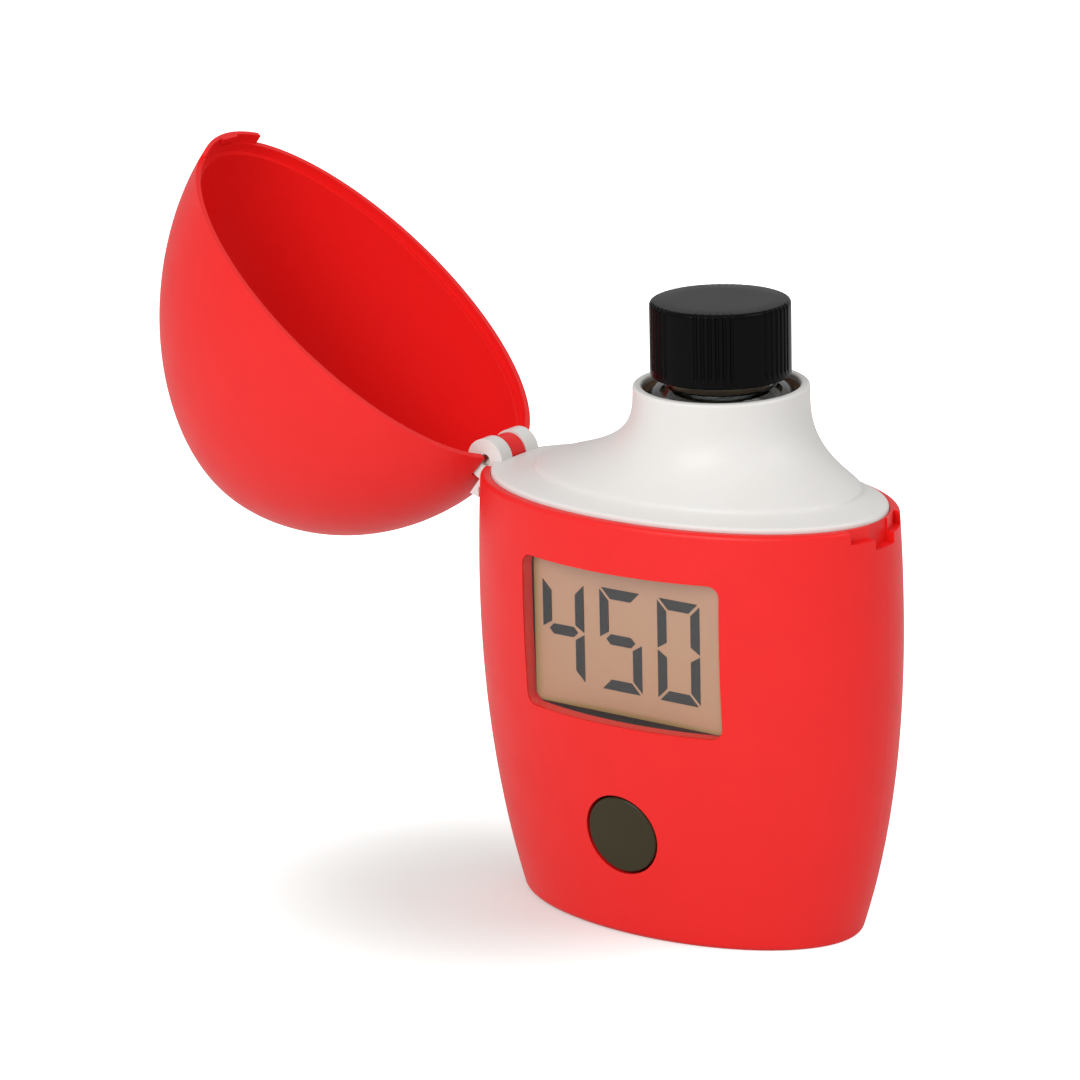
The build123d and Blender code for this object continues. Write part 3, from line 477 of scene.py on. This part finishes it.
# %% Dye of the bars
dye = moulded(
    "charcoal_dye_bars",
    "#151517",
    "#1b1b1e",
    roughness=0.45,
    ior=1.5,
    drift_mm=1.5,
    grain_mm=0.1,
    grain_depth=0.002,
    gloss=0.2,
)
paint(dye, "display_segments")

# %% [markdown]
# The window over the cell is a clear moulding with a curved face. Its solid touches
# the cell, and two clear faces on each other would fight for the same light, so a
# copy stands for the window and the cell's front glass, with its back face a
# quarter of a millimetre further forward. The copy is merged first, because a packed
# mesh is loose triangles, and its side walls get a slot of their own.

# %% Shape of the window's lens
LENS_GAP = 0.25 * MM
LENS_BACK_BAND = 0.02 * MM
WALL_LEAN = 0.5

lens_mesh = nodes["display_window"].data.copy()
lens_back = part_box("display_window")[1][1]
shape = bmesh.new()
shape.from_mesh(lens_mesh)
bmesh.ops.remove_doubles(shape, verts=shape.verts, dist=WELD)
for vertex in shape.verts:
    if vertex.co.y > lens_back - LENS_BACK_BAND:
        vertex.co.y -= LENS_GAP
shape.normal_update()
for face in shape.faces:
    face.material_index = 1 if abs(face.normal.y) < WALL_LEAN else 0
    face.smooth = False
shape.to_mesh(lens_mesh)
shape.free()
print("lens faces", len(lens_mesh.polygons))

# %% [markdown]
# A thin clear skin only adds a faint reflection, so the face is a bright mirror at a
# small alpha, and what lies behind it keeps its colour without the noise of
# refracted light. Finger smudges vary its haze. The side walls are dark brown, which is
# painted shade standing in for the shaded depth of the recess seen at the window's edges.

# %% Finish of the window's lens
LENS_ALPHA = 0.035
SMUDGE_MM = 7.0

skin, tree, shader, place = start_material("clear_acrylic_polished")
shader.inputs["Base Color"].default_value = linear("#fdfdfb")
shader.inputs["Metallic"].default_value = 1.0
shader.inputs["Alpha"].default_value = LENS_ALPHA
smudge = add_node(
    tree,
    "ShaderNodeTexNoise",
    values={"Scale": per_metre(SMUDGE_MM), "Detail": 3.0},
    links={"Vector": place},
).outputs["Fac"]
haze = add_node(
    tree, "ShaderNodeMapRange", values={"To Min": 0.04, "To Max": 0.16}, links={"Value": smudge}
).outputs["Result"]
tree.links.new(haze, shader.inputs["Roughness"])
# Painted shade: the side walls are dark brown where the recess is shaded.
wall = moulded(
    "dark_window_wall_painted_shade", "#33271a", "#3d2e1e", 0.45, 1.5, drift_mm=3.0, grain_depth=0.01
)

lens = bpy.data.objects.new("window_lens", lens_mesh)
bpy.context.scene.collection.objects.link(lens)
lens_mesh.materials.clear()
lens_mesh.materials.append(skin)
lens_mesh.materials.append(wall)
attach(lens, "case")
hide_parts("display_window", "display_front_glass")
print("lens skin shows", LENS_ALPHA, "of what it reflects")

# %% [markdown]
# ## The cap
# The cap is black phenolic, pressed hot in a steel mould, which gives a hard gloss.
# Its skirt follows a rule: six smooth lands and, between them, groups of fine
# grooves for the fingers, all standing on a plain ring. A plain turned body is spun
# from its half outline, and Geometry Nodes then press the grooves into it, so their
# number, width and depth are inputs and not hand-placed cuts.

# %% The cap's half outline, in millimetres
CAP_EDGE = 0.55
CAP_HEEL = 0.15
CAP_ROOF = 1.2
CAP_BORE = 7.26
CAP_TOP_RINGS = (0, 3.0, 6.0)
SKIRT_ROWS = 24

cap_low, cap_high = (Vector(corner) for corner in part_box("vial_cap"))
cap_axis = (cap_low + cap_high) / 2
cap_radius = (cap_high.x - cap_low.x) / 2 / MM
cap_bottom = cap_low.z / MM
cap_top = cap_high.z / MM


def rounded(radius, centre_r, centre_z, start, stop, steps=6):
    turns = [radians(start + (stop - start) * step / steps) for step in range(steps + 1)]
    return [(centre_r + radius * cos(turn), centre_z + radius * sin(turn)) for turn in turns]


outline = [(ring, cap_top) for ring in CAP_TOP_RINGS]
outline += rounded(CAP_EDGE, cap_radius - CAP_EDGE, cap_top - CAP_EDGE, 90, 0)
skirt_top = cap_top - CAP_EDGE
skirt_low = cap_bottom + CAP_HEEL
for row in range(1, SKIRT_ROWS):
    outline.append((cap_radius, skirt_top + (skirt_low - skirt_top) * row / SKIRT_ROWS))
outline += rounded(CAP_HEEL, cap_radius - CAP_HEEL, cap_bottom + CAP_HEEL, 0, -90, 3)
outline += [(CAP_BORE, cap_bottom), (CAP_BORE, cap_top - CAP_ROOF), (0, cap_top - CAP_ROOF)]
print("cap radius", round(cap_radius, 2), "mm, outline points", len(outline))

# %% [markdown]
# Spinning the outline in fine steps gives every groove enough points to be round.
# The spin can turn a shape inside out, so doubles are merged and the normals are
# worked out again before the shape is used.

# %% Turn the plain cap
CAP_SEGMENTS = 1080

cap_shape = bmesh.new()
ring = [cap_shape.verts.new((r * MM, 0, z * MM)) for r, z in outline]
edges = [cap_shape.edges.new(pair) for pair in zip(ring, ring[1:])]
bmesh.ops.spin(
    cap_shape,
    geom=ring + edges,
    cent=(0, 0, 0),
    axis=(0, 0, 1),
    angle=2 * pi,
    steps=CAP_SEGMENTS,
    use_merge=True,
)
bmesh.ops.remove_doubles(cap_shape, verts=cap_shape.verts, dist=WELD)
bmesh.ops.recalc_face_normals(cap_shape, faces=cap_shape.faces)
for face in cap_shape.faces:
    face.smooth = True
cap_mesh = bpy.data.meshes.new("cap_body")
cap_shape.to_mesh(cap_mesh)
cap_shape.free()
cap = bpy.data.objects.new("ribbed_cap", cap_mesh)
bpy.context.scene.collection.objects.link(cap)
print("plain cap faces", len(cap_mesh.polygons))

# %% [markdown]
# The tree is one rule with named inputs. Angles are in radians and sizes in metres.

# %% Inputs of the groove tree
GROOVE_SIZES = (
    "Group angle",
    "Groove pitch",
    "First group",
    "Groove half width",
    "Grooved half",
    "Groove depth",
    "Skirt radius",
    "Ring top",
)

grooves = bpy.data.node_groups.new("pressed_grooves", "GeometryNodeTree")
grooves.interface.new_socket("Geometry", in_out="INPUT", socket_type="NodeSocketGeometry")
for title in GROOVE_SIZES:
    grooves.interface.new_socket(title, in_out="INPUT", socket_type="NodeSocketFloat")
grooves.interface.new_socket("Material", in_out="INPUT", socket_type="NodeSocketMaterial")
grooves.interface.new_socket("Geometry", in_out="OUTPUT", socket_type="NodeSocketGeometry")
print("groove sizes", len(GROOVE_SIZES))

# %% [markdown]
# The rule works on the angle round the axis. The angle is folded into one group,
# then into one groove, and the distance to that groove's middle gives a rounded
# depth, which is one in the middle of a groove and nought on the land beside it.

# %% Fold the angle into a groove
given = add_node(grooves, "NodeGroupInput").outputs
spot = add_node(grooves, "GeometryNodeInputPosition").outputs["Position"]
split = add_node(grooves, "ShaderNodeSeparateXYZ", links={"Vector": spot}).outputs
angle = add_node(
    grooves,
    "ShaderNodeMath",
    settings={"operation": "ARCTAN2"},
    links={0: split["Y"], 1: split["X"]},
).outputs[0]
turned = add_node(
    grooves,
    "ShaderNodeMath",
    settings={"operation": "SUBTRACT"},
    links={0: angle, 1: given["First group"]},
).outputs[0]
half_group, half_pitch = (
    add_node(
        grooves,
        "ShaderNodeMath",
        settings={"operation": "MULTIPLY"},
        values={1: 0.5},
        links={0: given[title]},
    ).outputs[0]
    for title in ("Group angle", "Groove pitch")
)
off_middle = add_node(
    grooves,
    "ShaderNodeMath",
    settings={"operation": "PINGPONG"},
    links={0: turned, 1: half_group},
).outputs[0]
in_groove = add_node(
    grooves,
    "ShaderNodeMath",
    settings={"operation": "MODULO"},
    links={0: off_middle, 1: given["Groove pitch"]},
).outputs[0]
from_groove = add_node(
    grooves,
    "ShaderNodeMath",
    settings={"operation": "SUBTRACT"},
    links={0: in_groove, 1: half_pitch},
).outputs[0]
share = add_node(
    grooves,
    "ShaderNodeMath",
    settings={"operation": "DIVIDE"},
    links={0: from_groove, 1: given["Groove half width"]},
).outputs[0]
squared = add_node(
    grooves, "ShaderNodeMath", settings={"operation": "MULTIPLY"}, links={0: share, 1: share}
).outputs[0]
round_bed = add_node(
    grooves,
    "ShaderNodeMath",
    settings={"operation": "SUBTRACT", "use_clamp": True},
    values={0: 1.0},
    links={1: squared},
).outputs[0]
print("nodes so far", len(grooves.nodes))

# %% [markdown]
# Three more shares say where the grooves are pressed: inside the grooved part of a
# group, above the plain ring with a short ramp, and on the outer skin only, so that
# the bore stays round.

# %% Where the grooves are pressed
RING_RAMP = 0.35 * MM
SKIN_DEPTH = 0.6 * MM

within = add_node(
    grooves,
    "ShaderNodeMath",
    settings={"operation": "LESS_THAN"},
    links={0: off_middle, 1: given["Grooved half"]},
).outputs[0]
ramp_end = add_node(
    grooves,
    "ShaderNodeMath",
    settings={"operation": "ADD"},
    values={1: RING_RAMP},
    links={0: given["Ring top"]},
).outputs[0]
above_ring = add_node(
    grooves,
    "ShaderNodeMapRange",
    links={"Value": split["Z"], "From Min": given["Ring top"], "From Max": ramp_end},
).outputs["Result"]
flat = add_node(
    grooves,
    "ShaderNodeVectorMath",
    settings={"operation": "MULTIPLY"},
    values={1: (1, 1, 0)},
    links={0: spot},
).outputs["Vector"]
reach = add_node(
    grooves, "ShaderNodeVectorMath", settings={"operation": "LENGTH"}, links={0: flat}
).outputs["Value"]
inner_limit = add_node(
    grooves,
    "ShaderNodeMath",
    settings={"operation": "SUBTRACT"},
    values={1: SKIN_DEPTH},
    links={0: given["Skirt radius"]},
).outputs[0]
on_skin = add_node(
    grooves,
    "ShaderNodeMapRange",
    links={"Value": reach, "From Min": inner_limit, "From Max": given["Skirt radius"]},
).outputs["Result"]
print("nodes so far", len(grooves.nodes))

# %% [markdown]
# The shares and the depth are multiplied, and each point moves inwards by that much.
# The tree ends in Realize Instances and Set Material, as any tree has to whose
# result is exported.

# %% Press inwards and finish the tree
amount = round_bed
for factor in (within, above_ring, on_skin, given["Groove depth"]):
    amount = add_node(
        grooves,
        "ShaderNodeMath",
        settings={"operation": "MULTIPLY"},
        links={0: amount, 1: factor},
    ).outputs[0]
inward = add_node(
    grooves,
    "ShaderNodeMath",
    settings={"operation": "MULTIPLY"},
    values={1: -1.0},
    links={0: amount},
).outputs[0]
outward = add_node(
    grooves, "ShaderNodeVectorMath", settings={"operation": "NORMALIZE"}, links={0: flat}
).outputs["Vector"]
shift = add_node(
    grooves,
    "ShaderNodeVectorMath",
    settings={"operation": "SCALE"},
    links={0: outward, "Scale": inward},
).outputs["Vector"]
pressed = add_node(
    grooves,
    "GeometryNodeSetPosition",
    links={"Geometry": given["Geometry"], "Offset": shift},
).outputs["Geometry"]
realised = add_node(grooves, "GeometryNodeRealizeInstances", links={"Geometry": pressed}).outputs[0]
finished = add_node(
    grooves,
    "GeometryNodeSetMaterial",
    links={"Geometry": realised, "Material": given["Material"]},
).outputs["Geometry"]
add_node(grooves, "NodeGroupOutput", links={"Geometry": finished})
print("groove tree", len(grooves.nodes), "nodes")

# %% [markdown]
# A modifier's inputs are set by their identifiers before it is first evaluated.
# The result is then turned into a plain mesh, the modifier goes, and the mesh is
# moved to the vial's axis, so the finished object itself stays at the origin.

# %% Turn a modifier's result into a mesh
def bake_nodes(piece, tree, values):
    modifier = piece.modifiers.new(tree.name, "NODES")
    modifier.node_group = tree
    for socket in tree.interface.items_tree:
        if socket.in_out == "INPUT" and socket.name in values:
            modifier[socket.identifier] = values[socket.name]
    piece.update_tag()
    view = bpy.context.evaluated_depsgraph_get()
    baked = bpy.data.meshes.new_from_object(piece.evaluated_get(view))
    piece.modifiers.clear()
    piece.data = baked
    return baked


print("plain cap is ready", cap.name)

# %% [markdown]
# Pressed phenolic is nearly black and takes the polish of its steel mould, so its
# grain is very shallow. Six groups of six grooves stand round the skirt, and the
# lands between them are as wide as four grooves.

# %% Press the grooves and place the cap
phenolic = moulded(
    "black_phenolic_pressed",
    "#080808",
    "#0c0c0c",
    roughness=0.24,
    ior=1.6,
    drift_mm=5.0,
    grain_depth=0.002,
    sheen_span=0.05,
    flow_depth=0.005,
    gloss=0.04,
)
CAP_INPUTS = {
    "Group angle": radians(60),
    "Groove pitch": radians(6),
    "First group": radians(-1.4),
    "Groove half width": radians(1.9),
    "Grooved half": radians(18),
    "Groove depth": 0.24 * MM,
    "Skirt radius": cap_radius * MM,
    "Ring top": (cap_bottom + 0.9) * MM,
    "Material": phenolic,
}
baked_cap = bake_nodes(cap, grooves, CAP_INPUTS)
baked_cap.transform(Matrix.Translation((cap_axis.x, cap_axis.y, 0)))
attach(cap, "cap")
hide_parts("vial_cap")
print("cap triangles about", 2 * len(baked_cap.polygons))

# %% [markdown]
# ## The table and the light
# The object stands on a pale table that runs on to a white background. The table is
# one large square, and it is staged, so it is never a piece of the object.

# %% Floor
FLOOR_HALF = 3.0

floor_mesh = bpy.data.meshes.new("floor")
corners = [(x * FLOOR_HALF, y * FLOOR_HALF, 0) for x, y in ((-1, -1), (1, -1), (1, 1), (-1, 1))]
floor_mesh.from_pydata(corners, [], [range(4)])
floor = bpy.data.objects.new("floor", floor_mesh)
bpy.context.scene.collection.objects.link(floor)
print("floor side", 2 * FLOOR_HALF, "m")

# %% [markdown]
# A white background is a matter of what the camera sees, and not of more light on
# the object. Light Path tells a shader which ray has met it, so the paper and the
# room can be plain white for the camera, and through glass, while the object is lit
# by the room at a plain level.

# %% Which rays see plain white
def seen_white(tree):
    rays = add_node(tree, "ShaderNodeLightPath").outputs
    return add_node(
        tree,
        "ShaderNodeMath",
        settings={"operation": "MAXIMUM"},
        links={0: rays["Is Camera Ray"], 1: rays["Is Transmission Ray"]},
    ).outputs[0]


# %% [markdown]
# The paper keeps the soft shadow, which falls to the left of the foot. Seen by the
# camera it glows a little, and more with the distance from the middle of that
# shadow, until it is plain white, so the paper near that middle is painted darker,
# a painted shadow over the cast one. Close to the object it is also a little darker
# and cool, which is painted shade.

# %% White paper
SHADOW_MIDDLE = (-0.025, -0.012, 0.0)
SHADE_TINT_START = 0.02
SHADE_TINT_END = 0.08
GLOW_START = 0.008
GLOW_END = 0.07
PAINTED_SHADOW_GLOW = 0.18

paper, tree, shader, place = start_material("matt_white_paper")
shader.inputs["Roughness"].default_value = 0.9
distance = add_node(
    tree,
    "ShaderNodeVectorMath",
    settings={"operation": "DISTANCE"},
    values={1: SHADOW_MIDDLE},
    links={0: place},
).outputs["Value"]
away = add_node(
    tree,
    "ShaderNodeMapRange",
    settings={"interpolation_type": "SMOOTHSTEP"},
    values={"From Min": SHADE_TINT_START, "From Max": SHADE_TINT_END},
    links={"Value": distance},
).outputs["Result"]
# Painted shade: near the shadow's middle the paper is a little darker and cool.
sheet = add_node(
    tree,
    "ShaderNodeMix",
    settings={"data_type": "RGBA"},
    values={6: linear("#dae7e4"), 7: linear("#f4f4f4")},
    links={"Factor": away},
).outputs[2]
tree.links.new(sheet, shader.inputs["Base Color"])
# Less glow near the shadow's middle is painted shadow; far from it the paper is plain white.
far = add_node(
    tree,
    "ShaderNodeMapRange",
    settings={"interpolation_type": "SMOOTHSTEP"},
    values={"From Min": GLOW_START, "From Max": GLOW_END, "To Min": PAINTED_SHADOW_GLOW, "To Max": 1.0},
    links={"Value": distance},
).outputs["Result"]
glow = add_node(
    tree, "ShaderNodeMath", settings={"operation": "MULTIPLY"}, links={0: far, 1: seen_white(tree)}
).outputs[0]
shader.inputs["Emission Color"].default_value = linear("#ffffff")
tree.links.new(glow, shader.inputs["Emission Strength"])
floor_mesh.materials.append(paper)
print("paper is plain white from", GLOW_END, "m")

# %% [markdown]
# The world gives the even light of a white room. The camera sees it as plain white,
# also through glass, and the object is lit by it at about half that strength.

# %% World
ROOM_LIGHT = 0.55

world = bpy.data.worlds.new("white_room")
bpy.context.scene.world = world
world.use_nodes = True
tree = world.node_tree
strength = add_node(
    tree,
    "ShaderNodeMapRange",
    values={"To Min": ROOM_LIGHT, "To Max": 1.0},
    links={"Value": seen_white(tree)},
).outputs["Result"]
background = tree.nodes["Background"]
background.inputs["Color"].default_value = linear("#ffffff")
tree.links.new(strength, background.inputs["Strength"])
print("room light", ROOM_LIGHT)

# %% [markdown]
# Two large soft boxes shape the object: a weak one from the right, whose shadow
# falls to the left, and a broad one above the front, which lights the case and the
# lid evenly and leaves a soft highlight on the collar.

# %% Soft boxes
def soft_box(name, place, aim, size, power):
    data = bpy.data.lights.new(name, "AREA")
    data.shape = "RECTANGLE"
    data.size, data.size_y = size
    data.energy = power
    lamp = bpy.data.objects.new(name, data)
    bpy.context.scene.collection.objects.link(lamp)
    lamp.location = place
    lamp.rotation_euler = (Vector(aim) - Vector(place)).to_track_quat("-Z", "Y").to_euler()
    print(name, round(data.size * data.size_y, 3), "m2", power, "W")


soft_box("right_box", (0.40, 0.10, 0.45), (-0.01, 0, 0.04), (0.25, 0.25), 0.6)
soft_box("front_box", (0.02, -0.58, 0.42), (-0.01, 0, 0.05), (0.45, 0.30), 2.5)

# %% [markdown]
# ## The camera
# The camera stands to the right of the front and a little above, at the distance
# that gives the same foreshortening as the photograph. It is placed by its azimuth,
# elevation and roll about a point on the object, and a small shift centres the frame.

# %% Camera
CAMERA_AZIMUTH = radians(36.68)
CAMERA_ELEVATION = radians(16.2)
CAMERA_ROLL = radians(-1.37)
CAMERA_DISTANCE = 0.6288
CAMERA_TARGET = Vector((-0.02297, 0, 0.04542))
SENSOR = 36
IMAGE_SIDE = 1080
PIXELS_PER_RADIAN = 4798
CAMERA_SHIFT = 0.0033
NEAREST_SEEN = 0.05

back = Vector(
    (
        sin(CAMERA_AZIMUTH) * cos(CAMERA_ELEVATION),
        -cos(CAMERA_AZIMUTH) * cos(CAMERA_ELEVATION),
        sin(CAMERA_ELEVATION),
    )
)
right = Vector((cos(CAMERA_AZIMUTH), sin(CAMERA_AZIMUTH), 0))
up = back.cross(right)
turned_right = right * cos(CAMERA_ROLL) + up * sin(CAMERA_ROLL)
turned_up = up * cos(CAMERA_ROLL) - right * sin(CAMERA_ROLL)
turn = Matrix((turned_right, turned_up, back)).transposed().to_4x4()
camera_data = bpy.data.cameras.new("camera")
camera = bpy.data.objects.new("camera", camera_data)
bpy.context.scene.collection.objects.link(camera)
bpy.context.scene.camera = camera
camera.matrix_world = Matrix.Translation(CAMERA_TARGET + back * CAMERA_DISTANCE) @ turn
camera_data.sensor_width = SENSOR
camera_data.lens = PIXELS_PER_RADIAN / IMAGE_SIDE * SENSOR
camera_data.shift_x = -CAMERA_SHIFT
camera_data.shift_y = CAMERA_SHIFT
camera_data.clip_start = NEAREST_SEEN
print("lens", round(camera_data.lens, 1), "mm")

# %% [markdown]
# The view transform is Standard, so a colour renders as it is written.

# %% View settings
bpy.context.scene.view_settings.view_transform = "Standard"
